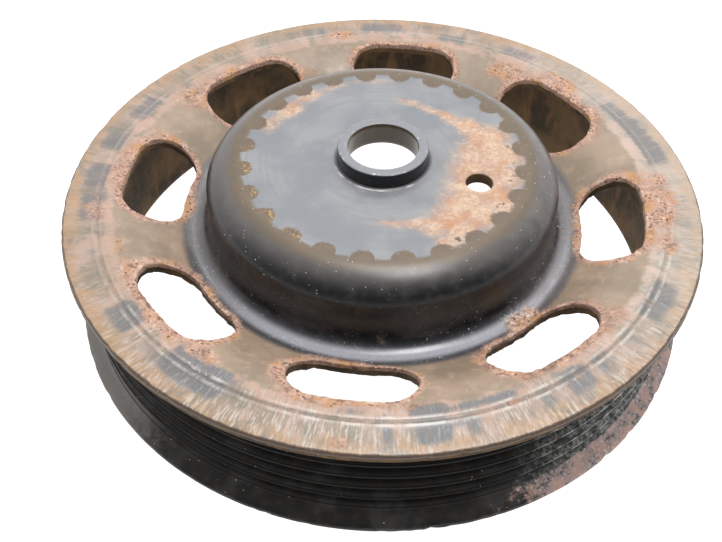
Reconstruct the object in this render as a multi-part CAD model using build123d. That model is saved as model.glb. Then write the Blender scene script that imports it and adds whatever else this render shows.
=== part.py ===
import os
from math import atan2, cos, degrees, radians, sin, tan

from build123d import *

# Crankshaft pulley for a ribbed belt, drawn, pierced and rolled from one
# steel disc. It stands on the lower flange of its rim with the shaft's axis
# on Z, and the side that faces the engine is on top. Sizes in millimetres.

sheet = 2.5

# belt rim, from the lower flange upwards
lower_land = 3.3
lower_flange = 3.0
lower_flange_edge = 1.2
lower_flange_round = 0.5
mouth_round = 2.5
rib_count = 5
rib_pitch = 3.56
groove_angle = 40
groove_depth = 3.1
groove_round = 0.5
wall_under_grooves = 1.7
upper_land = 4.9
upper_flange = 3.4
upper_flange_edge = 1.8
upper_flange_round = 0.8
inside_bend = 1.5

# ring face and the fine channel that the roller leaves in it
crown_inset = 0.2
crown_bend = 20.0
channel_setback = 0.9
channel_width = 1.1
channel_depth = 0.3
channel_round = 0.4

# dished web with its slots
web_run = 22.9
web_angle = 32
web_root_bend = 5.0
slot_count = 8
spoke_width = 14.2
slot_root_land = 2.0
slot_crown_land = 3.5

# drawn hub
hub_rise = 8.8
face_radius = 30.3
shoulder_run = 7.0
shoulder_drop = 4.9
shoulder_land = 0.25
shoulder_step = 0.6

# centring neck, extruded from the hub face
bore_radius = 7.35
bore_entry = 1.4
neck_wall = 2.15
neck_rise = 3.4
neck_root = 0.8
neck_edge = 0.3

# hole for the locating dowel
dowel_radius = 2.75
dowel_setback = 9.3
dowel_angle = -13.5
dowel_chamfer = 0.25

# heights and radii that follow
ring_height = lower_land + rib_count * rib_pitch + upper_land
hub_height = ring_height + hub_rise
neck_height = hub_height + neck_rise
neck_radius = bore_radius + neck_wall
wall_radius = face_radius + shoulder_run - shoulder_step
dowel_circle = face_radius - dowel_setback
crown_radius = wall_radius + web_run
rim_bore = crown_radius + crown_inset
crest_radius = rim_bore + wall_under_grooves + groove_depth
lower_radius = crest_radius + lower_flange
upper_radius = crest_radius + upper_flange
crown_corner = crown_radius - crown_bend * tan(radians(web_angle / 2))
shoulder_bend = (shoulder_run**2 + shoulder_drop**2) / (2 * shoulder_drop)


def web_top(radius):
    return ring_height - (crown_corner - radius) * tan(radians(web_angle))


def web_under(radius):
    return web_top(radius) - sheet / cos(radians(web_angle))


# Every corner of the section is a radius, a height and the bend made there.
def neck_corners():
    return [
        (bore_radius, hub_height - sheet, bore_entry),
        (bore_radius, neck_height, neck_edge),
        (neck_radius, neck_height, neck_edge),
        (neck_radius, hub_height, neck_root),
    ]


# The shoulder is one arc that leaves the hub face level and ends steeply, on
# a narrow land that stands out over the wall below it.
def shoulder_corners():
    slope = 2 * atan2(shoulder_drop, shoulder_run)
    corner_radius = face_radius + shoulder_bend * tan(slope / 2)
    land_radius = face_radius + shoulder_run + shoulder_land * cos(slope)
    land_height = hub_height - shoulder_drop - shoulder_land * sin(slope)
    return [
        (corner_radius, hub_height, shoulder_bend),
        (land_radius, land_height, 0),
        (wall_radius, land_height, 0),
        (wall_radius, web_top(wall_radius), web_root_bend),
    ]


def ring_corners():
    channel = rim_bore + channel_setback
    return [
        (crown_corner, ring_height, crown_bend),
        (channel - channel_width / 2, ring_height, 0),
        (channel, ring_height - channel_depth, channel_round),
        (channel + channel_width / 2, ring_height, 0),
        (upper_radius, ring_height, upper_flange_round),
        (upper_radius, ring_height - upper_flange_edge, upper_flange_round),
        (crest_radius, ring_height - upper_land, 0),
    ]


# The flanks of a groove meet in a point below its rounded root.
def groove_corners():
    half_angle = radians(groove_angle / 2)
    point_depth = groove_depth + groove_round * (1 / sin(half_angle) - 1)
    half_mouth = point_depth * tan(half_angle)
    corners = []
    for groove in range(rib_count):
        middle = ring_height - upper_land - (groove + 0.5) * rib_pitch
        corners += [
            (crest_radius, middle + half_mouth, 0),
            (crest_radius - point_depth, middle, groove_round),
            (crest_radius, middle - half_mouth, 0),
        ]
    return corners


def foot_corners():
    return [
        (crest_radius, lower_land, 0),
        (lower_radius, lower_flange_edge, lower_flange_round),
        (lower_radius, 0, lower_flange_round),
        (rim_bore, 0, mouth_round),
    ]


# The inside keeps the thickness of the disc under the web and the hub.
def inside_corners():
    inner_wall = wall_radius - sheet
    ceiling = ring_height - sheet
    half_angle = radians(web_angle / 2)
    ceiling_corner = crown_corner + sheet * tan(half_angle)
    room = rim_bore - inside_bend - ceiling_corner
    ceiling_bend = min(crown_bend - sheet, 0.95 * room / tan(half_angle))
    return [
        (rim_bore, ceiling, inside_bend),
        (ceiling_corner, ceiling, ceiling_bend),
        (inner_wall, web_under(inner_wall), web_root_bend + sheet),
        (inner_wall, hub_height - sheet, shoulder_bend - sheet),
    ]


# One slot in plan, along an arc about the shaft and with full-round ends.
def slot_outline():
    inner = wall_radius + web_root_bend + slot_root_land
    outer = crown_radius - slot_crown_land
    middle = (inner + outer) / 2
    width = outer - inner
    sweep = 360 / slot_count - degrees((spoke_width + width) / middle)
    return SlotArc(CenterArc((0, 0), middle, -sweep / 2, sweep), width)


corners = neck_corners() + shoulder_corners() + ring_corners()
corners += groove_corners() + foot_corners() + inside_corners()
points = [(radius, height) for radius, height, bend in corners]
bends = [bend for radius, height, bend in corners]

slot = slot_outline()

with BuildPart() as pulley:
    with BuildSketch(Plane.XZ):
        with BuildLine():
            FilletPolyline(points, radius=bends, close=True)
        make_face()
    revolve(axis=Axis.Z)

    with BuildSketch():
        with PolarLocations(0, slot_count):
            add(slot)
    extrude(amount=ring_height, mode=Mode.SUBTRACT)

    with Locations(Plane.XY.offset(hub_height)):
        with PolarLocations(dowel_circle, 1, start_angle=dowel_angle):
            Hole(dowel_radius, depth=sheet)
    rims = pulley.edges().filter_by(GeomType.CIRCLE)
    rims = rims.filter_by(lambda rim: abs(rim.radius - dowel_radius) < 0.001)
    chamfer(rims.sort_by(Axis.Z)[-1], dowel_chamfer)

os.makedirs("parts", exist_ok=True)
export_step(pulley.part, "parts/pulley.step")
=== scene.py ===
from math import atan2, cos, degrees, hypot, pi, radians, sin, sqrt, tan

import bmesh
import bpy
from mathutils import Matrix, Vector, noise


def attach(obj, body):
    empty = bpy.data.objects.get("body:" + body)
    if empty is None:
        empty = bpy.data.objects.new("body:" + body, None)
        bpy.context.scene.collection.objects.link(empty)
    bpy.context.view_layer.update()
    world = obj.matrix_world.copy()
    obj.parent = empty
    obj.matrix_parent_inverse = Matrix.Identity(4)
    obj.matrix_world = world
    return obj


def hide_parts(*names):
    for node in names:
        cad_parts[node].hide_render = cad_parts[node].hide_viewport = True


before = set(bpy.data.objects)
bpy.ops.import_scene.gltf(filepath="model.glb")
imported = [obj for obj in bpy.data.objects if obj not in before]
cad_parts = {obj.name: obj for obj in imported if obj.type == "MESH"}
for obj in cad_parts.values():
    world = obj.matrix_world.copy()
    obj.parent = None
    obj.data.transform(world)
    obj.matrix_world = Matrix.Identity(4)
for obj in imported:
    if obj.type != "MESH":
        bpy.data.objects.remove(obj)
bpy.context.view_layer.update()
print("stage 1: the packed pulley is loaded")

mm = 0.001
weld = 0.0005  # points nearer than this, in mm, are merged


# Corners of the section as radius, height, bend and steps in the bend, in mm.
# They start at the bore and run over the hub, the web and the ring, down the
# grooves and back along the inside.
pressing = {
    "steps": 320,
    "sharpAngle": 35,
    "fineSpan": 1.25,
    "insideSpan": 2.6,
    "insideEnd": 59.9,
    "outside": [
        (7.35, 32.3, 1.4, 5),
        (7.35, 38.2, 0.3, 2),
        (9.5, 38.2, 0.35, 3),
        (9.5, 34.8, 0.8, 4),
        (35.515, 34.8, 7.45, 12),
        (37.386, 29.665, 0.12, 1),
        (36.7, 29.665, 0.25, 2),
        (36.7, 15.274, 5.0, 9),
        (53.865, 26.0, 20.0, 12),
        (60.1, 26.0, 1.0, 4),
        (60.7, 25.7, 0.35, 3),
        (61.3, 26.0, 0.5, 4),
        (62.1, 25.78, 1.5, 3),
        (68.0, 25.84, 0.8, 4),
        (68.0, 24.2, 0.8, 4),
        (64.6, 21.1, 0.15, 1),
    ],
    "grooveMiddles": [19.32, 15.76, 12.2, 8.64, 5.08],
    "grooveHalf": 1.478,
    "grooveCrest": (64.6, 0.12, 1),  # radius, bend and steps
    "grooveRoot": (60.538, 0.5, 4),
    "foot": [
        (64.6, 3.3, 0.2, 1),
        (67.6, 1.2, 0.5, 3),
        (67.6, 0.0, 0.5, 3),
        (59.8, 0.0, 2.5, 5),
    ],
    "inside": [
        (59.8, 23.5, 1.5, 4),
        (54.58, 23.5, 12.3, 7),
        (34.2, 10.764, 7.5, 7),
        (34.2, 32.3, 4.95, 6),
    ],
}


def groovedSection():
    corners = list(pressing["outside"])
    crest, crestBend, crestSteps = pressing["grooveCrest"]
    root, rootBend, rootSteps = pressing["grooveRoot"]
    half = pressing["grooveHalf"]
    for middle in pressing["grooveMiddles"]:
        corners.append((crest, middle + half, crestBend, crestSteps))
        corners.append((root, middle, rootBend, rootSteps))
        corners.append((crest, middle - half, crestBend, crestSteps))
    return corners + pressing["foot"] + pressing["inside"]


def roundCorner(bm, vert, bend, steps):
    # a vertex bevel on the wire makes the true arc of the bend
    ends = [edge.other_vert(vert).co - vert.co for edge in vert.link_edges]
    turn = pi - ends[0].angle(ends[1])
    bmesh.ops.bevel(bm, geom=[vert], offset=bend * tan(turn / 2), offset_type="OFFSET",
                    segments=steps, profile=0.5, affect="VERTICES", material=-1)


def spunPressing():
    bm = bmesh.new()
    corners = groovedSection()
    wire = [bm.verts.new((radius, 0, height)) for radius, height, bend, steps in corners]
    for index, vert in enumerate(wire):
        bm.edges.new((vert, wire[(index + 1) % len(wire)]))
    for vert, (radius, height, bend, steps) in zip(wire, corners):
        roundCorner(bm, vert, bend, steps)
    for edge in bm.edges[:]:
        middle = (edge.verts[0].co + edge.verts[1].co) / 2
        isInside = middle.x < pressing["insideEnd"] and not isOutside(middle.x, middle.z)
        span = pressing["insideSpan"] if isInside else pressing["fineSpan"]
        cuts = int(edge.calc_length() / span)
        if cuts:
            bmesh.ops.subdivide_edges(bm, edges=[edge], cuts=cuts)
    bmesh.ops.spin(bm, geom=bm.verts[:] + bm.edges[:], cent=(0, 0, 0), axis=(0, 0, 1),
                   angle=2 * pi, steps=pressing["steps"], use_merge=True)
    bmesh.ops.remove_doubles(bm, verts=bm.verts[:], dist=weld)
    bmesh.ops.recalc_face_normals(bm, faces=bm.faces[:])
    return bm


# The upper side of the web is the bend at the foot of the hub, a cone and the
# flat arc of the crown. The other values part the two sides of the metal.
sides = {
    "footCentre": (41.7, 24.29),
    "footBend": 5.0,
    "footEnd": 44.35,
    "coneCorner": (53.865, 26.0),
    "coneSlope": 32,
    "coneEnd": 49.0,
    "crownCentre": (59.6, 6.0),
    "crownBend": 20.0,
    "webDeep": 1.0,
    "wallMiddle": 35.5,
    "wallOutside": 37.2,
    "wallFoot": 20.5,
    "shoulderCentre": (30.3, 27.35),
    "shoulderBend": 6.2,
    "faceMiddle": 33.5,
}


def webHeight(radius):
    if radius < sides["footEnd"]:
        centre, level = sides["footCentre"]
        return level - sqrt(max(0.0, sides["footBend"] ** 2 - (centre - radius) ** 2))
    if radius < sides["coneEnd"]:
        corner, level = sides["coneCorner"]
        return level - (corner - radius) * tan(radians(sides["coneSlope"]))
    centre, level = sides["crownCentre"]
    return level + sqrt(sides["crownBend"] ** 2 - (centre - min(radius, centre)) ** 2)


# Whether a point of the section is on the upper or outer side of the metal.
def isOutside(radius, height):
    if radius > sides["wallOutside"]:
        return height > webHeight(radius) - sides["webDeep"]
    if radius > sides["wallMiddle"]:
        return height > sides["wallFoot"]
    centre, level = sides["shoulderCentre"]
    if radius > centre:
        return height > level and hypot(radius - centre, height - level) > sides["shoulderBend"]
    return height > sides["faceMiddle"]


# Each cutter is a stack of loops, given as how far a loop spreads and its
# height, over the web for the slots. The upper loops spread, so the pierced
# edge comes out rolled over as a press tool leaves it.
slots = {
    "count": 8,
    "middle": 49.9,
    "halfWidth": 6.2,
    "halfSweep": 7.23,
    "outerSteps": 14,
    "innerSteps": 11,
    "endSteps": 18,
    "loops": [(0.25, -9.0), (0.0, -1.2), (0.0, -0.42), (0.06, -0.2), (0.2, -0.06), (0.42, 0.0), (0.62, 2.0)],
}
dowelHole = {
    "radius": 2.75,
    "place": (20.42, -4.902),
    "steps": 40,
    "loops": [(0.0, 31.0), (0.0, 34.45), (0.12, 34.68), (0.4, 34.83), (0.5, 36.0)],
}


def polar(radius, turn):
    return Vector((radius * cos(turn), radius * sin(turn), 0))


# Finished loops are tagged, so what is left is the loop at hand.
def untagged(bm):
    return [vert for vert in bm.verts if not vert.tag]


def tagLoop(made):
    for vert in made:
        vert.tag = True
    return list(dict.fromkeys(edge for vert in made for edge in vert.link_edges))


def slotLoop(bm, reach, rise, azimuth):
    middle, half, sweep = slots["middle"], slots["halfWidth"] + reach, radians(slots["halfSweep"])
    turnSlot = Matrix.Rotation(azimuth, 3, "Z")
    shaft = Vector((0, 0, 0))
    runs = [
        (shaft, 2 * sweep, slots["outerSteps"]),
        (turnSlot @ polar(middle, sweep), pi, slots["endSteps"]),
        (shaft, -2 * sweep, slots["innerSteps"]),
        (turnSlot @ polar(middle, -sweep), pi, slots["endSteps"]),
    ]
    tip = [bm.verts.new(turnSlot @ polar(middle + half, -sweep))]
    for centre, angle, steps in runs:
        spun = bmesh.ops.spin(bm, geom=tip, cent=centre, axis=(0, 0, 1), angle=angle, steps=steps)
        tip = [item for item in spun["geom_last"] if isinstance(item, bmesh.types.BMVert)]
    bmesh.ops.remove_doubles(bm, verts=untagged(bm), dist=weld)
    made = untagged(bm)
    for vert in made:
        vert.co.z = webHeight(hypot(vert.co.x, vert.co.y)) + rise
    return tagLoop(made)


def dowelLoop(bm, reach, height):
    place = Matrix.Translation((*dowelHole["place"], height))
    circle = bmesh.ops.create_circle(bm, cap_ends=False, segments=dowelHole["steps"],
                                     radius=dowelHole["radius"] + reach, matrix=place)
    return tagLoop(circle["verts"])


def closeStack(bm, stack):
    for lower, upper in zip(stack, stack[1:]):
        bmesh.ops.bridge_loops(bm, edges=lower + upper)
    bmesh.ops.holes_fill(bm, edges=stack[0] + stack[-1], sides=0)


def piercingTools():
    bm = bmesh.new()
    for index in range(slots["count"]):
        azimuth = 2 * pi * index / slots["count"]
        closeStack(bm, [slotLoop(bm, reach, rise, azimuth) for reach, rise in slots["loops"]])
    closeStack(bm, [dowelLoop(bm, reach, height) for reach, height in dowelHole["loops"]])
    bmesh.ops.recalc_face_normals(bm, faces=bm.faces[:])
    return bm


def meshPiece(bm, name):
    bmesh.ops.scale(bm, vec=(mm, mm, mm), verts=bm.verts[:])
    mesh = bpy.data.meshes.new(name)
    bm.to_mesh(mesh)
    bm.free()
    piece = bpy.data.objects.new(name, mesh)
    bpy.context.scene.collection.objects.link(piece)
    return piece


pulley = meshPiece(spunPressing(), "pressedPulley")
print("stage 2: the section is spun,", len(pulley.data.polygons), "faces")

tools = meshPiece(piercingTools(), "piercingTools")
cut = pulley.modifiers.new("pierce", "BOOLEAN")
cut.operation = "DIFFERENCE"
cut.solver = "EXACT"
cut.object = tools
pierced = bpy.data.meshes.new_from_object(pulley.evaluated_get(bpy.context.evaluated_depsgraph_get()))
pulley.modifiers.clear()
pulley.data = pierced
pierced.name = "pressedPulley"
bpy.data.objects.remove(tools)
for face in pulley.data.polygons:
    face.use_smooth = True
pulley.data.set_sharp_from_angle(angle=radians(pressing["sharpAngle"]))
print("stage 3: slots and dowel hole are pierced,", len(pulley.data.polygons), "faces")

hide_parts("pulley")
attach(pulley, "root")


# Marks are azimuth in degrees, radius, half length round the shaft and half
# width along the radius in mm, and strength. rustWidth is how wide the rust
# round the slots is at an azimuth. It eats their edges as deep as eatenLumps
# say, each with a scale and a depth, where it is eatenFull wide or more.
wear = {
    "seed": 7,
    "eatenRing": (40, 61),
    "eatenFrom": 15,
    "eatenReach": 1.6,
    "eatenFull": 3,
    "eatenLumps": [(0.9, 0.26), (2.3, 0.1)],
    "flangeFrom": 66.3,
    "flakeArc": (-80, 60),
    "flakeTop": 4,
    "flakeGrain": 0.55,
    "flakeLevel": 0.12,
    "edgeFlake": 0.75,
    "edgeKnock": 0.3,
    "webFrom": 36,
    "webRust": 0.7,
    "sheetDeep": 2.6,
    "faceFrom": 34,
    "shoulderFrom": 29,
    "footFrom": 18,
    "skinDeep": 0.5,
    "brushedEnds": (0.9, 1.6),
    "blotEdge": 1.6,
    "rustEdge": 1.25,
    "greyPatches": [
        (-137, 61.3, 3.8, 3.2, 0.95), (-118, 60.8, 6.6, 3.6, 1.0), (-111.5, 60.0, 2.6, 2.6, 0.7),
        (-127, 62.4, 3.4, 1.6, 0.5), (-75.5, 63.2, 3.0, 2.5, 1.0), (-76, 58.6, 3.6, 1.6, 1.0),
        (-68, 58.9, 9.0, 1.1, 0.9), (-69, 63.0, 1.6, 2.3, 0.75), (-71.5, 61.8, 1.2, 1.4, 0.6),
        (-83, 63.8, 1.3, 2.2, 0.7), (-88, 58.9, 2.4, 1.0, 0.6), (-48.5, 61.8, 3.4, 3.2, 0.85),
        (-42.5, 62.2, 2.2, 2.8, 0.6), (-55, 62.4, 2.4, 2.2, 0.5), (-23.5, 62.2, 5.6, 2.8, 0.75),
        (-35, 62.5, 2.4, 2.6, 0.45), (-177, 62.3, 4.0, 2.6, 0.95), (-168, 61.9, 4.4, 2.8, 1.0),
        (172, 62.8, 3.4, 2.5, 0.75), (160, 61.8, 4.4, 2.4, 0.8), (166, 63.2, 3.0, 1.8, 0.5),
        (114, 63.6, 4.6, 1.9, 0.55), (96, 63.2, 5.6, 2.2, 0.8), (84, 65.0, 3.8, 1.5, 0.55),
        (79, 61.2, 3.8, 1.9, 0.8), (63, 62.6, 4.6, 2.1, 0.75), (34, 61.6, 3.8, 2.2, 0.8),
        (26.5, 62.3, 5.0, 2.6, 0.95), (19, 62.5, 3.6, 2.7, 0.9), (4, 63.8, 2.8, 2.3, 0.5),
        (-1, 63.8, 2.6, 2.1, 0.5), (-152, 62.0, 5.6, 1.8, 0.4),
    ],
    "dustAndGlarePatches": [
        (0, 34.0, 22.0, 4.5, 0.7), (30, 34.0, 14.0, 4.0, 0.5), (-160, 34.5, 16.0, 4.0, 0.3),
        (140, 34.0, 14.0, 4.0, 0.4), (85, 33.5, 20.0, 3.5, 0.5), (175, 41.5, 9.0, 3.0, 0.7),
        (-165, 41.0, 9.0, 3.0, 0.6), (-20, 41.5, 10.0, 3.0, 0.9), (5, 41.5, 10.0, 3.0, 0.7),
        (-140, 41.0, 7.0, 2.4, 0.5), (-38, 41.5, 6.0, 2.6, 0.6),
    ],
    "scrapes": [
        (-41.5, 40.4, 3.8, 1.5, 1.0), (-117, 60.0, 5.0, 0.35, 0.7), (-113, 61.2, 3.6, 0.3, 0.6),
        (-110, 11.2, 3.0, 0.25, 0.5), (-70, 10.6, 3.0, 0.25, 0.8),
        (-100, 10.5, 2.6, 0.22, 0.9), (-135, 10.7, 2.0, 0.25, 0.7), (-40, 10.7, 2.0, 0.25, 0.6),
    ],
    "rustBlots": [
        (-61, 60.7, 1.3, 0.7, 1.0), (-90, 65.4, 1.6, 1.0, 0.8), (-41, 41.5, 4.5, 1.8, 1.0),
        (-33, 56.5, 4.5, 3.2, 0.7), (3, 59.5, 9.0, 3.2, 0.9), (-8, 60.5, 3.2, 2.2, 0.8),
        (10, 60.5, 3.4, 2.4, 0.8), (62, 55.0, 6.0, 3.2, 0.7), (50, 59.2, 6.0, 2.4, 0.8),
        (36, 57.5, 4.0, 2.0, 0.7), (107, 60.5, 4.0, 1.6, 0.9), (150, 56.0, 4.0, 3.0, 0.8),
        (146, 50.5, 3.0, 3.0, 0.5), (193, 60.8, 4.0, 2.2, 0.6), (180, 57.8, 7.0, 2.0, 0.8),
        (168, 56.0, 3.0, 2.0, 0.5), (183, 43.0, 4.5, 1.3, 1.0), (212, 54.5, 3.0, 3.4, 0.9),
        (205, 56.5, 3.0, 1.6, 0.5), (228, 57.2, 7.0, 1.7, 0.9), (240, 56.5, 4.0, 1.9, 0.8),
        (257, 52.5, 3.0, 4.0, 0.9), (264, 57.4, 5.0, 1.4, 0.7), (280, 57.4, 5.0, 1.2, 0.5),
        (301, 48.5, 2.6, 4.4, 0.9), (307, 55.0, 3.0, 2.4, 0.8), (325, 56.8, 3.5, 1.6, 0.6),
        (88, 43.5, 4.0, 1.0, 0.6), (117, 48.0, 2.5, 4.0, 0.4),
    ],
    "tanFilm": [
        (80, 20.4, 3.5, 0.8, 0.7), (66, 19.8, 3.2, 1.0, 0.75), (50, 20.2, 3.8, 1.4, 0.85),
        (36, 21.6, 3.4, 2.6, 1.0), (24, 23.4, 4.0, 4.4, 1.0), (10, 22.6, 4.8, 6.4, 1.0),
        (-5, 22.0, 4.8, 6.8, 1.0), (-20, 22.4, 4.8, 6.6, 1.0), (-34, 23.2, 4.6, 6.0, 1.0),
        (-47, 24.0, 4.0, 5.0, 1.0), (-58, 22.6, 3.2, 2.6, 0.8), (-68, 20.6, 4.0, 1.4, 0.7),
        (-79, 19.6, 3.4, 0.8, 0.6), (-55, 27.6, 3.0, 2.0, 0.8), (-24, 28.2, 4.0, 2.0, 0.9),
        (148, 26.2, 3.6, 2.2, 0.8), (161, 26.6, 3.4, 1.8, 0.65), (134, 27.0, 3.8, 1.8, 0.7),
        (121, 27.4, 3.6, 1.3, 0.55), (98, 27.2, 3.0, 0.9, 0.5), (108, 27.6, 2.4, 0.8, 0.45),
    ],
    "rustWidth": [
        (0, 3.0), (22, 2.6), (45, 3.0), (67, 2.4), (90, 1.6), (112, 2.0), (135, 2.4), (158, 2.2),
        (180, 2.4), (200, 2.2), (212, 3.4), (225, 2.6), (240, 2.6), (255, 4.0), (268, 2.0),
        (284, 1.4), (300, 3.4), (315, 2.6), (332, 1.8), (345, 2.4), (360, 3.0),
    ],
}


def markShare(marks, azimuth, radius, square=False):
    share = 0.0
    for markAzimuth, markRadius, halfRound, halfRadial, strength in marks:
        across = radius - markRadius
        if abs(across) > 2 * halfRadial:
            continue
        along = radians((azimuth - markAzimuth + 180) % 360 - 180) * radius
        if square:  # brushed patches end along the brush marks
            softRound, softRadial = wear["brushedEnds"]
            inner = min((halfRound - abs(along)) / softRound, (halfRadial - abs(across)) / softRadial) + 0.5
        else:
            inner = wear["blotEdge"] - hypot(along / halfRound, across / halfRadial)
        share = max(share, strength * max(0.0, min(1.0, inner)))
    return share


# How far a point in plan is from the edge of the nearest slot.
def slotGap(azimuth, radius):
    pitch = 360 / slots["count"]
    near = (azimuth + pitch / 2) % pitch - pitch / 2
    if abs(near) <= slots["halfSweep"]:
        return abs(radius - slots["middle"]) - slots["halfWidth"]
    turn = radians(abs(near) - slots["halfSweep"])
    across = radius * cos(turn) - slots["middle"]
    return hypot(across, radius * sin(turn)) - slots["halfWidth"]


def rustReach(azimuth):
    azimuth %= 360
    for (lower, first), (upper, second) in zip(wear["rustWidth"], wear["rustWidth"][1:]):
        if azimuth <= upper:
            share = (azimuth - lower) / (upper - lower)
            return first + (second - first) * share


# Rust has eaten the slot edges, and the flanges are knocked and flaked.
def roughenEdges(mesh):
    noise.seed_set(wear["seed"])
    ringFrom, ringTo = wear["eatenRing"]
    flakeFrom, flakeTo = wear["flakeArc"]
    for vert in mesh.vertices:
        place = vert.co / mm
        x, y, z = place
        radius, azimuth = hypot(x, y), degrees(atan2(y, x))
        shift = Vector((0, 0, 0))
        onSheet = z > wear["eatenFrom"] and isOutside(radius, z + wear["sheetDeep"])
        if ringFrom < radius < ringTo and onSheet:
            closeness = max(0.0, 1 - max(0.0, slotGap(azimuth, radius)) / wear["eatenReach"])
            eaten = closeness * min(1.0, rustReach(azimuth) / wear["eatenFull"])
            for scale, depth in wear["eatenLumps"]:
                shift += noise.noise_vector(place * scale) * depth * eaten
        elif radius > wear["flangeFrom"]:
            isFlaked = z < wear["flakeTop"] and flakeFrom < azimuth < flakeTo
            flaked = wear["edgeFlake"] if isFlaked else wear["edgeKnock"]
            lump = max(0.0, noise.noise(place * wear["flakeGrain"]) - wear["flakeLevel"])
            shift = Vector((-x, -y, 0)) / radius * (lump * flaked * (radius - wear["flangeFrom"]))
        vert.co += shift * mm


def markWear(mesh):
    rows = {name: [] for name in ("greyPatch", "slotRust", "tanFilm", "dustAndGlare", "scrape")}
    for vert in mesh.vertices:
        x, y, z = vert.co / mm
        radius, azimuth = hypot(x, y), degrees(atan2(y, x))
        grey = rust = film = 0.0
        if radius > wear["webFrom"] and z > webHeight(radius) - wear["sheetDeep"]:
            grey = markShare(wear["greyPatches"], azimuth, radius, square=True)
            gap = slotGap(azimuth, radius)
            reach = rustReach(azimuth) * (1 if radius > slots["middle"] else wear["webRust"])
            rust = max(0.0, min(1.0, wear["rustEdge"] - gap / reach))
            rust = max(rust, markShare(wear["rustBlots"], azimuth, radius))
        elif z > wear["faceFrom"]:
            film = markShare(wear["tanFilm"], azimuth, radius)
        onHub = radius < wear["webFrom"] and z > wear["shoulderFrom"]
        onTop = z > wear["footFrom"] and (onHub or isOutside(radius, z + wear["skinDeep"]))
        rows["dustAndGlare"].append(markShare(wear["dustAndGlarePatches"], azimuth, radius) if onTop else 0.0)
        rows["scrape"].append(markShare(wear["scrapes"], azimuth, radius) if onTop else 0.0)
        rows["greyPatch"].append(grey)
        rows["slotRust"].append(rust)
        rows["tanFilm"].append(film)
    for name, row in rows.items():
        mesh.attributes.new(name, "FLOAT", "POINT").data.foreach_set("value", row)


markWear(pulley.data)
roughenEdges(pulley.data)
print("stage 4: wear is marked on", len(pulley.data.vertices), "points")


# Paints as a chart gives them, red, green and blue from 0 to 255.
def tint(*paint):
    linear = [((part / 255 + 0.055) / 1.055) ** 2.4 if part > 10 else part / 3294 for part in paint]
    return (*linear, 1)


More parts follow.
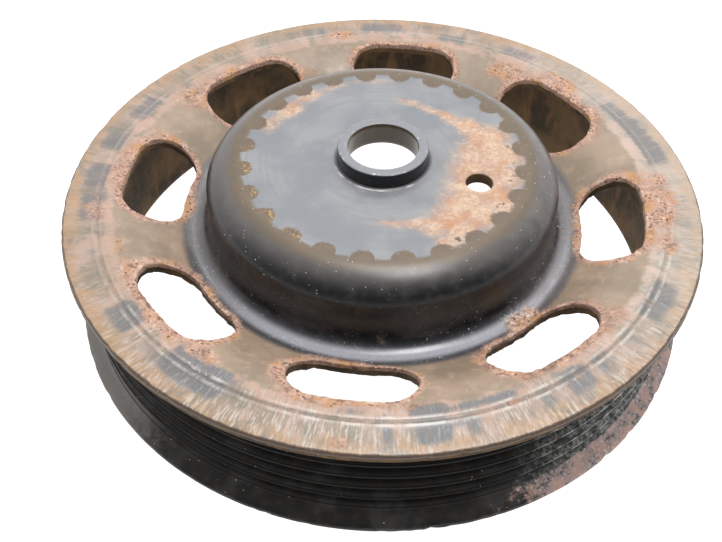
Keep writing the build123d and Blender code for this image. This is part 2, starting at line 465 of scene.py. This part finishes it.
class NodeBench:
    # Nodes of one finish. Places, radii and heights are millimetres on the
    # piece. Wrapped is a drum of 50 mm radius round the shaft, as long as the
    # radius, for brush marks and lathe rings.
    def __init__(self, name, settings):
        self.settings = settings
        self.material = bpy.data.materials.new(name)
        self.material.use_nodes = True
        self.tree = self.material.node_tree
        self.shader = self.tree.nodes["Principled BSDF"]
        self.place = self.stretch(self.add("ShaderNodeTexCoord").outputs["Object"], (1 / mm,) * 3)
        along, across, self.height = self.add("ShaderNodeSeparateXYZ", {0: self.place}).outputs
        flat = self.add("ShaderNodeCombineXYZ", {0: along, 1: across}).outputs[0]
        self.radius = self.vector("LENGTH", flat, output="Value")
        self.azimuth = self.calc("ARCTAN2", across, along)
        drum = self.vector("MULTIPLY", self.vector("NORMALIZE", flat), (50, 50, 0))
        length = self.add("ShaderNodeCombineXYZ", {2: self.radius}).outputs[0]
        self.wrapped = self.vector("ADD", drum, length)
        self.coarse = self.grain(self.place, 0.11, 3.0)
        self.middle = self.grain(self.place, 0.42, 4.0, 0.6)
        self.fine = self.grain(self.place, 1.5, 5.0, 0.7)
        self.crumbs = self.times(self.calc("ADD", self.middle, self.fine), 0.5)

    def add(self, kind, inputs=None, **settings):
        node = self.tree.nodes.new(kind)
        for name, value in settings.items():
            setattr(node, name, value)
        for key, value in (inputs or {}).items():
            self.feed(node.inputs[key], value)
        return node

    def feed(self, socket, value):
        if isinstance(value, bpy.types.NodeSocket):
            self.tree.links.new(value, socket)
        else:
            socket.default_value = value

    def calc(self, operation, first, second=0.0, clamp=False):
        inputs = {0: first, 1: second}
        return self.add("ShaderNodeMath", inputs, operation=operation, use_clamp=clamp).outputs[0]

    def vector(self, operation, first, second=(0, 0, 0), output=0):
        inputs = {0: first, 1: second}
        return self.add("ShaderNodeVectorMath", inputs, operation=operation).outputs[output]

    def times(self, first, *others):
        for other in others:
            first = self.calc("MULTIPLY", first, other)
        return first

    def fade(self, value, low, high, start=0.0, end=1.0):
        inputs = {"Value": value, "From Min": low, "From Max": high, "To Min": start, "To Max": end}
        return self.add("ShaderNodeMapRange", inputs, interpolation_type="SMOOTHSTEP").outputs["Result"]

    def near(self, value, middle, far, close):
        # full within close of the middle, gone beyond far
        return self.fade(self.calc("ABSOLUTE", self.calc("SUBTRACT", value, middle)), far, close)

    def towards(self, angle, far, close):
        # full within close of an angle round the shaft, gone beyond far
        turned = self.calc("COSINE", self.calc("SUBTRACT", self.azimuth, radians(angle)))
        return self.fade(turned, cos(radians(far)), cos(radians(close)))

    def coat(self, share, under, over):
        # over on under; a word is a paint of this finish
        inputs = {"Factor": share}
        for socket, layer in ((6, under), (7, over)):
            inputs[socket] = tint(*self.settings[layer]) if isinstance(layer, str) else layer
        return self.add("ShaderNodeMix", inputs, data_type="RGBA").outputs[2]

    def blend(self, share, first, second):
        return self.add("ShaderNodeMix", {"Factor": share, 2: first, 3: second}).outputs[0]

    def stretch(self, place, scale):
        return self.add("ShaderNodeMapping", {"Vector": place, "Scale": scale}).outputs[0]

    def grain(self, place, scale, detail=3.0, rough=0.55, warp=0.0):
        inputs = {"Vector": place, "Scale": scale, "Detail": detail}
        inputs |= {"Roughness": rough, "Distortion": warp}
        return self.add("ShaderNodeTexNoise", inputs).outputs[0]

    def mark(self, name):
        return self.add("ShaderNodeAttribute", attribute_name=name).outputs["Fac"]

    def ragged(self, share, grain, bite, low=0.4, high=0.6):
        # a mask whose edge is eaten by a grain
        shift = self.times(self.calc("SUBTRACT", grain, 0.5), bite)
        return self.fade(self.calc("ADD", share, shift), low, high)

    def blotches(self):
        return self.grain(self.place, 0.2, 4.0, 0.65, 0.4)

    def specks(self, scale, size, share):
        cells = self.add("ShaderNodeTexVoronoi", {"Vector": self.place, "Scale": scale})
        chance = self.add("ShaderNodeSeparateColor", {0: cells.outputs["Color"]}).outputs[0]
        dots = self.fade(cells.outputs["Distance"], size, size * 0.6)
        return self.times(dots, self.calc("GREATER_THAN", chance, share))

    def dustSpecks(self):
        return self.calc("MAXIMUM", self.specks(0.62, 0.085, 0.6), self.specks(1.3, 0.12, 0.7))

    def scraped(self, colour):
        # broken scratches that show bare metal
        bare = self.times(self.mark("scrape"), self.fade(self.fine, 0.48, 0.6),
                          self.fade(self.middle, 0.35, 0.6, 0.3, 0.9))
        return self.coat(bare, colour, "scraped")

    def finish(self, colour, rough, relief):
        depth = self.settings["bumpDepth"] * mm
        bump = self.add("ShaderNodeBump", {"Height": relief, "Distance": depth, "Strength": 1.0})
        self.feed(self.shader.inputs["Base Color"], colour)
        self.feed(self.shader.inputs["Roughness"], rough)
        self.feed(self.shader.inputs["Specular IOR Level"], self.settings["gloss"])
        self.feed(self.shader.inputs["Normal"], bump.outputs[0])
        return self.material


# Web and ring: a khaki film on the web, a brushed brown ring, black satin at
# the foot of the hub and rust round the slots. In every finish the places of
# its masks follow the paints. A pair is where a mask begins and where it is
# full. A triple is a middle, and how far from it the mask ends and how far it
# is full, in mm or, for a side, in degrees round the shaft.
dish = {
    "gloss": 0.5,
    "bumpDepth": 0.24,
    "khaki": (135, 116, 98),
    "khakiDeep": (116, 101, 84),
    "khakiPale": (158, 139, 122),
    "pinkRust": (166, 133, 116),
    "paleRust": (188, 164, 146),
    "darkRust": (98, 68, 56),
    "orangeRust": (164, 122, 80),
    "pit": (58, 36, 32),
    "ringBrown": (126, 109, 92),
    "ringPink": (148, 127, 114),
    "ringPale": (178, 173, 165),
    "ringOlive": (101, 94, 82),
    "ringGrey": (80, 82, 86),
    "ringYellow": (146, 114, 80),
    "channel": (84, 80, 74),
    "ridge": (196, 188, 178),
    "satinBlack": (22, 23, 27),
    "satinDustAndSheen": (74, 72, 74),
    "paintedHighlight": (158, 158, 166),
    "dustAndGlare": (104, 98, 96),
    "wallBrown": (62, 52, 42),
    "wallBlack": (36, 33, 31),
    "wallDust": (86, 74, 58),
    "lip": (62, 47, 37),
    "scraped": (198, 194, 192),
    "dust": (232, 232, 234),
    "nearSide": (-74, 84, 28),
    "paleSide": (12, 64, 12),
    "crustySide": (-48, 30, 8),
    "ringFrom": (55.0, 59.5),
    "ringInner": (63.5, 57.5),
    "ringEdge": (62.0, 68.0),
    "lipFrom": (66.9, 67.9),
    "channelAt": (60.72, 0.45, 0.15),
    "ridgesAt": [(59.9, 0.5, 0.1), (61.5, 0.5, 0.1)],
    "footTo": (45.2, 42.0),
    "footDust": (39.6, 43.0),
    "paintedHighlightAt": (40.4, 2.0, 0.4),
    "wallTo": (37.6, 37.4),
    "wallFrom": (21.5, 25.5),
    "wallDustTo": (27.0, 22.5),
}


def makeDishSteel():
    bench = NodeBench("dishSteel", dish)
    radius, height, middle, fine = bench.radius, bench.height, bench.middle, bench.fine
    blotch = bench.blotches()
    streaks = bench.grain(bench.stretch(bench.wrapped, (1.0, 1.0, 0.16)), 2.4, 3.0, 0.65)
    broad = bench.grain(bench.stretch(bench.wrapped, (1.0, 1.0, 0.2)), 0.4, 3.0, 0.6)

    web = bench.coat(bench.fade(bench.coarse, 0.35, 0.65), "khakiDeep", "khaki")
    web = bench.coat(bench.fade(middle, 0.5, 0.75, 0.0, 0.45), web, "khakiPale")

    # ring: brown, pink and olive in blotches, yellower at the edge
    ring = bench.coat(bench.fade(bench.coarse, 0.38, 0.62), "ringBrown", "ringPink")
    ring = bench.coat(bench.fade(broad, 0.48, 0.66, 0.0, 0.7), ring, "ringOlive")
    edge = bench.ragged(bench.fade(radius, *dish["ringEdge"]), blotch, 2.8, 0.3, 0.9)
    ring = bench.coat(bench.times(edge, 0.65), ring, "ringYellow")
    inner = bench.ragged(bench.fade(radius, *dish["ringInner"]), blotch, 3.6, 0.3, 0.9)
    ring = bench.coat(bench.times(inner, 0.5), ring, "pinkRust")
    ring = bench.coat(bench.fade(blotch, 0.48, 0.32, 0.0, 0.65), ring, "ringOlive")
    ring = bench.coat(bench.fade(middle, 0.56, 0.7, 0.0, 0.5), ring, "ringPink")
    ring = bench.coat(bench.towards(*dish["paleSide"]), ring, bench.coat(0.25, ring, "ringPale"))

    # bare grey patches and brush marks, most on the near side
    nearSide = bench.towards(*dish["nearSide"])
    torn = bench.calc("ADD", bench.times(streaks, 0.7), bench.times(broad, 0.3))
    bare = bench.ragged(bench.mark("greyPatch"), torn, 2.6, 0.2, 0.9)
    ring = bench.coat(bench.times(bare, bench.blend(nearSide, 0.75, 0.95)), ring, "ringGrey")
    brushed = bench.times(bench.blend(nearSide, 0.28, 1.0), bench.fade(broad, 0.3, 0.6, 0.4, 1.0),
                          bench.blend(inner, 1.0, 0.5))
    pale = bench.times(bench.fade(streaks, 0.49, 0.66, 0.0, 0.68), bench.blend(bare, 1.0, 0.45), brushed)
    ring = bench.coat(pale, ring, "ringPale")
    deep = bench.times(bench.fade(streaks, 0.47, 0.34, 0.0, 0.7), brushed)
    ring = bench.coat(deep, ring, "ringOlive")

    # rolled channel: painted shade on its floor and painted highlights on the two ridges, most on the near
    # side; the ridges are also rubbed pale all round
    floor = bench.times(bench.near(radius, *dish["channelAt"]), bench.fade(middle, 0.3, 0.55, 0.1, 0.6),
                        nearSide)
    ring = bench.coat(floor, ring, "channel")
    ridge = bench.calc("MAXIMUM", *[bench.near(radius, *place) for place in dish["ridgesAt"]])
    rubbedAndLitRidges = bench.times(ridge, brushed, bench.fade(broad, 0.35, 0.6, 0.05, 0.5))
    ring = bench.coat(rubbedAndLitRidges, ring, "ridge")
    onRing = bench.ragged(bench.fade(radius, *dish["ringFrom"]), blotch, 1.4, 0.3, 0.7)
    colour = bench.coat(onRing, web, ring)
    lip = bench.ragged(bench.fade(radius, *dish["lipFrom"]), middle, 1.2, 0.3, 0.8)
    colour = bench.coat(bench.times(lip, 0.9), colour, "lip")
    ringRough = bench.blend(bench.times(ridge, 0.6), bench.fade(streaks, 0.3, 0.7, 0.32, 0.48), 0.26)
    rough = bench.blend(onRing, bench.fade(middle, 0.3, 0.7, 0.4, 0.56), ringRough)

    # black satin over the bend at the foot of the hub, turning grey outwards as dust and as painted light
    onFoot = bench.ragged(bench.fade(radius, *dish["footTo"]), middle, 0.6, 0.1, 0.9)
    # dust and painted light: the black greys where the bend faces up
    dusty = bench.fade(radius, *dish["footDust"], 0.0, 0.7)
    dusty = bench.calc("ADD", dusty, bench.fade(middle, 0.42, 0.75, 0.0, 0.25))
    black = bench.coat(dusty, "satinBlack", "satinDustAndSheen")
    # painted highlight: a pale band across the bend, strong on the near side and faint elsewhere
    paintedHighlight = bench.times(bench.near(radius, *dish["paintedHighlightAt"]), bench.blend(nearSide, 0.15, 0.85))
    black = bench.coat(paintedHighlight, black, "paintedHighlight")
    # partly dust, partly painted glare: a grey-brown film on the black at the sides and far side
    dustAndGlare = bench.times(bench.mark("dustAndGlare"), bench.fade(blotch, 0.3, 0.65, 0.35, 0.75))
    black = bench.coat(dustAndGlare, black, "dustAndGlare")
    colour = bench.coat(onFoot, colour, black)
    rough = bench.blend(onFoot, rough, bench.fade(middle, 0.3, 0.7, 0.22, 0.3))

    # rust round the slots and in blots
    rust = bench.coat(bench.fade(bench.crumbs, 0.38, 0.5), "darkRust", "pinkRust")
    rust = bench.coat(bench.fade(bench.crumbs, 0.52, 0.64), rust, "paleRust")
    rust = bench.coat(bench.fade(fine, 0.45, 0.34, 0.0, 0.85), rust, "darkRust")
    crusty = bench.times(bench.towards(*dish["crustySide"]), bench.fade(middle, 0.62, 0.42, 0.0, 0.35))
    rust = bench.coat(crusty, rust, "darkRust")
    rust = bench.coat(bench.fade(fine, 0.57, 0.68, 0.0, 0.6), rust, "paleRust")
    rust = bench.coat(bench.fade(blotch, 0.5, 0.64, 0.0, 0.7), rust, "orangeRust")
    gnawed = bench.calc("ADD", bench.times(bench.crumbs, 0.5), bench.times(blotch, 0.5))
    rustMask = bench.ragged(bench.mark("slotRust"), gnawed, 2.6, 0.15, 0.9)
    colour = bench.coat(rustMask, colour, rust)
    pits = bench.add("ShaderNodeTexVoronoi", {"Vector": bench.place, "Scale": 1.0})
    pit = bench.times(bench.fade(pits.outputs["Distance"], 0.34, 0.2), bench.fade(rustMask, 0.5, 1.0),
                      bench.fade(middle, 0.42, 0.6))
    colour = bench.coat(bench.times(pit, 0.8), colour, "pit")
    rough = bench.blend(rustMask, rough, 0.85)

    # hub wall
    onWall = bench.times(bench.fade(radius, *dish["wallTo"]), bench.fade(height, *dish["wallFrom"]))
    wall = bench.coat(bench.fade(middle, 0.35, 0.65), "wallBrown", "wallBlack")
    dusty = bench.times(bench.fade(height, *dish["wallDustTo"]), bench.fade(blotch, 0.4, 0.6, 0.2, 0.7))
    wall = bench.coat(dusty, wall, "wallDust")
    colour = bench.coat(onWall, colour, wall)
    rough = bench.blend(onWall, rough, 0.42)

    # scratches and dust
    colour = bench.scraped(colour)
    footDust = bench.times(bench.specks(2.0, 0.16, 0.72), onFoot, bench.fade(middle, 0.4, 0.6))
    dustMask = bench.calc("MAXIMUM", bench.dustSpecks(), footDust)
    dustMask = bench.times(dustMask, bench.fade(bench.coarse, 0.4, 0.52), bench.blend(onFoot, 0.3, 0.9))
    colour = bench.coat(dustMask, colour, "dust")

    relief = bench.times(fine, bench.blend(rustMask, bench.blend(onRing, 0.02, 0.06), 1.0))
    relief = bench.calc("SUBTRACT", relief, bench.times(pit, 0.7))
    relief = bench.calc("ADD", relief, bench.times(streaks, onRing, 0.12))
    return bench.finish(colour, rough, relief)


# Hub: black satin on the shoulder, bare steel on the face with the print of
# the toothed wheel that stood there, a tan film, and dark crud in its gaps.
hub = {
    "gloss": 0.5,
    "bumpDepth": 0.24,
    "satinBlack": (22, 22, 25),
    "satinDustAndSheen": (74, 69, 66),
    "dustAndGlare": (100, 95, 93),
    "faceGrey": (117, 118, 120),
    "faceBlue": (100, 103, 108),
    "faceBrown": (88, 71, 52),
    "faceOlive": (78, 67, 50),
    "tanRust": (158, 127, 107),
    "tanPale": (180, 155, 133),
    "tanOrange": (158, 108, 70),
    "crud": (154, 122, 62),
    "crudDark": (80, 60, 42),
    "neckBlack": (14, 14, 16),
    "neckTop": (108, 110, 114),
    "boreBrown": (82, 70, 56),
    "dowelRust": (70, 44, 36),
    "scraped": (198, 194, 192),
    "dust": (232, 232, 234),
    "teeth": 24,
    "toothTurn": 6.3,
    "toothRoot": 27.5,
    "toothTip": 29.8,
    "gapShare": 0.62,
    "brownSide": (172, 70, 30),
    "goldSide": (-145, 43, 26),
    "faceLevel": (34.0, 34.6),
    "faceTo": (34.6, 30.2),
    "shoulderDustAndSheen": (36.6, 32.6),
    "gapTo": (30.2, 28.4),
    "filmEdge": (25.0, 28.0),
    "shadeTo": (10.6, 9.9),
    "neckTo": (9.9, 9.6),
    "neckTopTo": (9.7, 9.5),
    "neckTopFrom": (37.95, 38.12),
    "boreTo": (7.7, 7.5),
    "footRing": (10.25, 0.3, 0.1),
    "footSide": (-90, 86, 24),
    "chipRings": [(7.75, 0.3, 0.1), (9.2, 0.3, 0.1)],
    "chipsFrom": (37.5, 37.8),
    "dowelWall": (3.1, 2.9),
    "dowelTo": (34.7, 34.5),
}


def makeHubSteel():
    bench = NodeBench("hubSteel", hub)
    radius, height, azimuth = bench.radius, bench.height, bench.azimuth
    middle, fine, crumbs = bench.middle, bench.fine, bench.crumbs
    blotch = bench.blotches()
    rings = bench.grain(bench.stretch(bench.wrapped, (0.015, 0.015, 1.0)), 1.1, 3.0, 0.6)
    level = bench.fade(height, *hub["faceLevel"])

    # dust lies where the shoulder faces up, and the grey there is also painted light on the upper shoulder
    dusty = bench.fade(radius, *hub["shoulderDustAndSheen"], 0.0, 0.75)
    dusty = bench.calc("ADD", dusty, bench.fade(middle, 0.42, 0.75, 0.0, 0.3))
    colour = bench.coat(dusty, "satinBlack", "satinDustAndSheen")
    # partly dust, partly painted glare: a grey-brown film on the black at the sides and far side
    dustAndGlare = bench.times(bench.mark("dustAndGlare"), bench.fade(blotch, 0.3, 0.65, 0.35, 0.8))
    colour = bench.coat(dustAndGlare, colour, "dustAndGlare")
    rough = bench.fade(middle, 0.3, 0.7, 0.28, 0.38)

    outer = bench.coat(bench.fade(middle, 0.35, 0.65), "faceBrown", "faceOlive")
    onFace = bench.ragged(bench.fade(radius, *hub["faceTo"]), blotch, 0.5, 0.1, 0.9)
    colour = bench.coat(onFace, colour, outer)
    rough = bench.blend(onFace, rough, 0.38)

    # print of the toothed wheel: each gap between two teeth is a half ellipse
    turned = bench.calc("SUBTRACT", azimuth, radians(hub["toothTurn"]))
    turns = bench.times(turned, hub["teeth"] / (2 * pi))
    swing = bench.calc("ABSOLUTE", bench.calc("SUBTRACT", bench.calc("FRACT", turns), 0.5))
    swing = bench.calc("MULTIPLY", swing, 2.0 / hub["gapShare"], clamp=True)
    scallop = bench.calc("SQRT", bench.calc("SUBTRACT", 1.0, bench.times(swing, swing)))
    depth = hub["toothTip"] - hub["toothRoot"]
    reach = bench.calc("SUBTRACT", hub["toothTip"], bench.times(scallop, depth))
    reach = bench.calc("ADD", reach, bench.times(bench.calc("SUBTRACT", crumbs, 0.5), 3.0))
    within = bench.calc("SUBTRACT", reach, radius)
    inPrint = bench.times(bench.fade(within, -0.5, 0.45), level)
    steel = bench.coat(bench.fade(bench.coarse, 0.35, 0.65), "faceGrey", "faceBlue")
    steel = bench.coat(bench.fade(rings, 0.48, 0.6, 0.0, 0.4), steel, "faceBlue")
    film = bench.ragged(bench.mark("tanFilm"), crumbs, 1.1, 0.05, 1.0)
    tanned = bench.coat(bench.fade(crumbs, 0.4, 0.6), "tanRust", "tanPale")
    orange = bench.times(bench.fade(blotch, 0.48, 0.62, 0.0, 0.75), bench.fade(fine, 0.35, 0.6, 0.4, 1.0))
    tanned = bench.coat(orange, tanned, "tanOrange")
    caked = bench.times(bench.fade(middle, 0.58, 0.68), bench.fade(radius, *hub["filmEdge"]))
    tanned = bench.coat(caked, tanned, "crudDark")
    steel = bench.coat(bench.times(film, bench.fade(fine, 0.3, 0.55, 0.75, 0.97)), steel, tanned)
    colour = bench.coat(inPrint, colour, steel)
    rough = bench.blend(inPrint, rough, bench.blend(film, 0.36, 0.8))

    # crud in the gaps of the print: dark, thicker and with gold grains on the left
    gap = bench.times(bench.fade(within, 0.25, -0.35), bench.fade(radius, *hub["gapTo"]), level)
    colour = bench.coat(bench.times(gap, bench.fade(crumbs, 0.42, 0.6, 0.2, 0.8)), colour, "crudDark")
    colour = bench.coat(bench.times(gap, bench.towards(*hub["brownSide"]), 0.6), colour, "crudDark")
    gold = bench.times(gap, bench.towards(*hub["goldSide"]), bench.fade(fine, 0.5, 0.62))
    colour = bench.coat(gold, colour, "crud")

    # neck: black side, grey top, painted shade at its foot, brown bore
    shade = bench.times(bench.fade(radius, *hub["shadeTo"]), level, 0.7)
    colour = bench.coat(shade, colour, "satinBlack")
    onNeck = bench.fade(radius, *hub["neckTo"])
    colour = bench.coat(onNeck, colour, "neckBlack")
    rough = bench.blend(onNeck, rough, 0.2)
    boreRust = bench.coat(bench.fade(crumbs, 0.4, 0.6), "boreBrown", "faceOlive")
    colour = bench.coat(bench.fade(radius, *hub["boreTo"]), colour, boreRust)
    foot = bench.times(bench.near(radius, *hub["footRing"]), level, bench.towards(*hub["footSide"]),
                       bench.fade(middle, 0.4, 0.6, 0.1, 0.8))
    colour = bench.coat(foot, colour, "scraped")
    onTop = bench.times(bench.fade(radius, *hub["neckTopTo"]), bench.fade(height, *hub["neckTopFrom"]))
    colour = bench.coat(onTop, colour, "neckTop")
    chips = bench.calc("MAXIMUM", *[bench.near(radius, *place) for place in hub["chipRings"]])
    chips = bench.times(chips, bench.fade(fine, 0.52, 0.64), bench.fade(middle, 0.45, 0.6, 0.0, 0.9),
                        bench.fade(height, *hub["chipsFrom"]))
    colour = bench.coat(chips, colour, "scraped")
    rough = bench.blend(onTop, rough, 0.4)

    # wall of the dowel hole
    fromDowel = bench.vector("SUBTRACT", bench.place, (*dowelHole["place"], 0))
    fromDowel = bench.vector("LENGTH", bench.stretch(fromDowel, (1.0, 1.0, 0.0)), output="Value")
    inDowel = bench.times(bench.fade(fromDowel, *hub["dowelWall"]), bench.fade(height, *hub["dowelTo"]))
    colour = bench.coat(inDowel, colour, "dowelRust")
    rough = bench.blend(inDowel, rough, 0.8)

    # scratches and dust
    colour = bench.scraped(colour)
    dustMask = bench.times(bench.dustSpecks(), bench.fade(bench.coarse, 0.42, 0.56),
                           bench.blend(inPrint, 0.9, 0.2))
    colour = bench.coat(dustMask, colour, "dust")

    relief = bench.times(fine, 0.02)
    relief = bench.calc("ADD", relief, bench.times(film, inPrint, fine, 0.4))
    return bench.finish(colour, rough, relief)


# Rim: black grooves and flanges, rusted along the lower flange.
rim = {
    "gloss": 0.25,
    "bumpDepth": 0.22,
    "black": (21, 20, 19),
    "grey": (62, 61, 60),
    "brown": (46, 38, 31),
    "crest": (9, 9, 9),
    "leftGlareGrey": (118, 113, 109),
    "pinkRust": (168, 139, 129),
    "greyRust": (138, 129, 128),
    "paleRust": (206, 196, 192),
    "darkRust": (72, 54, 50),
    "polishAndHighlight": (150, 150, 148),
    "dust": (232, 232, 234),
    "leftSide": (-158, 42, 16),
    "leftTo": (9.0, 3.0),
    "crestAt": (64.6, 0.3, 0.12),
    "crestFrom": (3.2, 3.8),
    "shineSide": (-37, 26, 2),
    "shineFrom": (61.5, 63.0),
    "shineTo": (65.5, 64.8),
    "rustSide": (54, 128, 98),
    "rustTo": (4.0, 2.9),
}


def makeRimBlack():
    bench = NodeBench("rimBlack", rim)
    radius, height = bench.radius, bench.height
    middle, fine, crumbs = bench.middle, bench.fine, bench.crumbs
    colour = bench.coat(bench.fade(middle, 0.4, 0.75), "black", "brown")
    colour = bench.coat(bench.fade(bench.coarse, 0.5, 0.65, 0.0, 0.5), colour, "grey")
    # painted light: the black grooves turn grey on the left side, more so lower down
    left = bench.times(bench.towards(*rim["leftSide"]), bench.fade(height, *rim["leftTo"], 0.35, 1.0))
    colour = bench.coat(bench.ragged(left, crumbs, 1.2, 0.2, 1.1), colour, "leftGlareGrey")

    # the crests are rougher and painted darker, a painted shade over the light they catch; at the right of
    # the near side the flanks are polished by the belt and painted pale as a painted highlight
    crest = bench.times(bench.near(radius, *rim["crestAt"]), bench.fade(height, *rim["crestFrom"]))
    colour = bench.coat(bench.times(crest, 0.8), colour, "crest")
    shine = bench.times(bench.towards(*rim["shineSide"]), bench.fade(middle, 0.35, 0.6, 0.2, 1.0),
                        bench.fade(radius, *rim["shineFrom"]), bench.fade(radius, *rim["shineTo"]))
    colour = bench.coat(bench.times(shine, bench.fade(fine, 0.35, 0.6)), colour, "polishAndHighlight")

    # rust along the lower flange
    low = bench.times(bench.fade(height, *rim["rustTo"]), bench.towards(*rim["rustSide"]))
    rustMask = bench.ragged(low, crumbs, 1.8, 0.35, 0.65)
    rust = bench.coat(bench.fade(middle, 0.4, 0.6), "greyRust", "pinkRust")
    rust = bench.coat(bench.fade(crumbs, 0.47, 0.38, 0.0, 0.8), rust, "darkRust")
    rust = bench.coat(bench.fade(fine, 0.55, 0.66, 0.0, 0.6), rust, "paleRust")
    colour = bench.coat(rustMask, colour, rust)
    dustMask = bench.times(bench.specks(1.1, 0.12, 0.8), bench.fade(bench.coarse, 0.42, 0.56))
    colour = bench.coat(dustMask, colour, "dust")
    rough = bench.blend(rustMask, bench.fade(middle, 0.3, 0.7, 0.46, 0.6), 0.9)
    rough = bench.blend(shine, bench.blend(crest, rough, 0.85), 0.3)
    relief = bench.times(fine, bench.blend(rustMask, 0.08, 1.0))
    return bench.finish(colour, rough, relief)


# Inside: brown rust with runs in it, all over.
inside = {
    "gloss": 0.2,
    "bumpDepth": 0.22,
    "brown": (92, 71, 44),
    "dark": (50, 39, 25),
    "rust": (112, 79, 48),
}


def makeInsideRust():
    bench = NodeBench("insideRust", inside)
    fine = bench.fine
    runs = bench.grain(bench.stretch(bench.place, (1.0, 1.0, 0.25)), 0.35, 3.0, 0.6)
    colour = bench.coat(bench.fade(bench.coarse, 0.35, 0.65), "dark", "brown")
    colour = bench.coat(bench.fade(runs, 0.5, 0.7, 0.0, 0.7), colour, "rust")
    colour = bench.coat(bench.fade(fine, 0.42, 0.3, 0.0, 0.6), colour, "dark")
    rough = bench.fade(fine, 0.3, 0.7, 0.6, 0.85)
    return bench.finish(colour, rough, bench.times(fine, 0.6))


# Which finish a face takes, from where it lies on the section. The edge of
# the upper flange goes with the ring.
zones = {
    "rimFrom": 60.2,
    "rimTop": 24.9,
    "lipFrom": 66.5,
    "lipUnder": 24.0,
    "neckWall": 9.7,
    "hubTo": 37.6,
    "hubFoot": 29.5,
}
finishes = ["dish", "hub", "rim", "inside"]


def faceFinish(face):
    centre = face.center / mm
    radius, height = hypot(centre.x, centre.y), centre.z
    isLip = radius > zones["lipFrom"] and height > zones["lipUnder"]
    if radius > zones["rimFrom"] and height < zones["rimTop"] and not isLip:
        return finishes.index("rim")
    if radius > zones["neckWall"] and not isOutside(radius, height):
        return finishes.index("inside")
    onHub = radius < zones["hubTo"] and height > zones["hubFoot"]
    return finishes.index("hub" if onHub else "dish")


pulley.data.materials.clear()
for material in (makeDishSteel(), makeHubSteel(), makeRimBlack(), makeInsideRust()):
    pulley.data.materials.append(material)
for face in pulley.data.polygons:
    face.material_index = faceFinish(face)
print("stage 5: four finishes are on")


# White paper below, a bright sky at the back, a lamp above and a strip beyond.
studio = {
    "floorRadius": 4.0,
    "floorSteps": 96,
    "floorDrop": 0.0002,
    "floorGlow": 1.0,
    "floorTone": 0.5,
    "floorRough": 0.9,
    "brightSide": (-0.1, 0.62, 0.78),
    "brightFrom": -0.3,
    "brightTo": 0.8,
    "worldLow": 0.1,
    "worldHigh": 1.48,
    "lampAim": (0, 0, 0.02),
    "keyPower": 2.1,
    "keySize": (0.34, 0.11),
    "keyPlace": (0.06, 0.03, 0.5),
    "stripPower": 0.34,
    "stripSize": (0.4, 0.03),
    "stripPlace": (0.0, 0.4, 0.46),
    "lens": 50.571,
    "sensorWidth": 36,
    "clipStart": 0.01,
    "cameraPlace": (0.014906, -0.163786, 0.171707),
    "cameraAim": (-0.001485, -0.024689, 0.026),
    "cameraRoll": 0.555,
}


def makeFloor():
    bm = bmesh.new()
    bmesh.ops.create_circle(bm, cap_ends=True, segments=studio["floorSteps"],
                            radius=studio["floorRadius"])
    bmesh.ops.translate(bm, vec=(0, 0, -studio["floorDrop"]), verts=bm.verts[:])
    mesh = bpy.data.meshes.new("paperFloor")
    bm.to_mesh(mesh)
    bm.free()
    floor = bpy.data.objects.new("paperFloor", mesh)
    bpy.context.scene.collection.objects.link(floor)
    paper = bpy.data.materials.new("whitePaper")
    paper.use_nodes = True
    skin = paper.node_tree.nodes["Principled BSDF"]
    skin.inputs["Base Color"].default_value = (studio["floorTone"],) * 3 + (1,)
    skin.inputs["Roughness"].default_value = studio["floorRough"]
    skin.inputs["Emission Color"].default_value = (1, 1, 1, 1)
    skin.inputs["Emission Strength"].default_value = studio["floorGlow"]
    mesh.materials.append(paper)


def makeWorld():
    world = bpy.data.worlds.new("softBox")
    world.use_nodes = True
    tree = world.node_tree
    back = tree.nodes["Background"]
    place = tree.nodes.new("ShaderNodeTexCoord")
    behind = tree.nodes.new("ShaderNodeVectorMath")
    behind.operation = "DOT_PRODUCT"
    behind.inputs[1].default_value = studio["brightSide"]
    rise = tree.nodes.new("ShaderNodeMapRange")
    rise.interpolation_type = "SMOOTHSTEP"
    ends = {"From Min": "brightFrom", "From Max": "brightTo", "To Min": "worldLow", "To Max": "worldHigh"}
    for socket, setting in ends.items():
        rise.inputs[socket].default_value = studio[setting]
    tree.links.new(place.outputs["Generated"], behind.inputs[0])
    tree.links.new(behind.outputs["Value"], rise.inputs["Value"])
    tree.links.new(rise.outputs["Result"], back.inputs["Strength"])
    back.inputs["Color"].default_value = (1, 1, 1, 1)
    bpy.context.scene.world = world


def makeLamp(name, place, size, power):
    data = bpy.data.lights.new(name, "AREA")
    data.shape = "RECTANGLE"
    data.size, data.size_y = size
    data.energy = power
    lamp = bpy.data.objects.new(name, data)
    lamp.location = place
    lamp.rotation_euler = (Vector(studio["lampAim"]) - Vector(place)).to_track_quat("-Z", "Y").to_euler()
    bpy.context.scene.collection.objects.link(lamp)


def makeCamera():
    data = bpy.data.cameras.new("photoCamera")
    data.lens = studio["lens"]
    data.sensor_width = studio["sensorWidth"]
    data.clip_start = studio["clipStart"]
    camera = bpy.data.objects.new("photoCamera", data)
    place, aim = Vector(studio["cameraPlace"]), Vector(studio["cameraAim"])
    turn = (aim - place).to_track_quat("-Z", "Y").to_matrix()
    roll = Matrix.Rotation(radians(studio["cameraRoll"]), 3, "Z")
    camera.matrix_world = Matrix.Translation(place) @ (turn @ roll).to_4x4()
    bpy.context.scene.collection.objects.link(camera)
    bpy.context.scene.camera = camera


makeFloor()
makeWorld()
makeLamp("keyLamp", studio["keyPlace"], studio["keySize"], studio["keyPower"])
makeLamp("stripLamp", studio["stripPlace"], studio["stripSize"], studio["stripPower"])
makeCamera()
bpy.context.scene.view_settings.view_transform = "Standard"
print("stage 6: floor, light and camera are set")
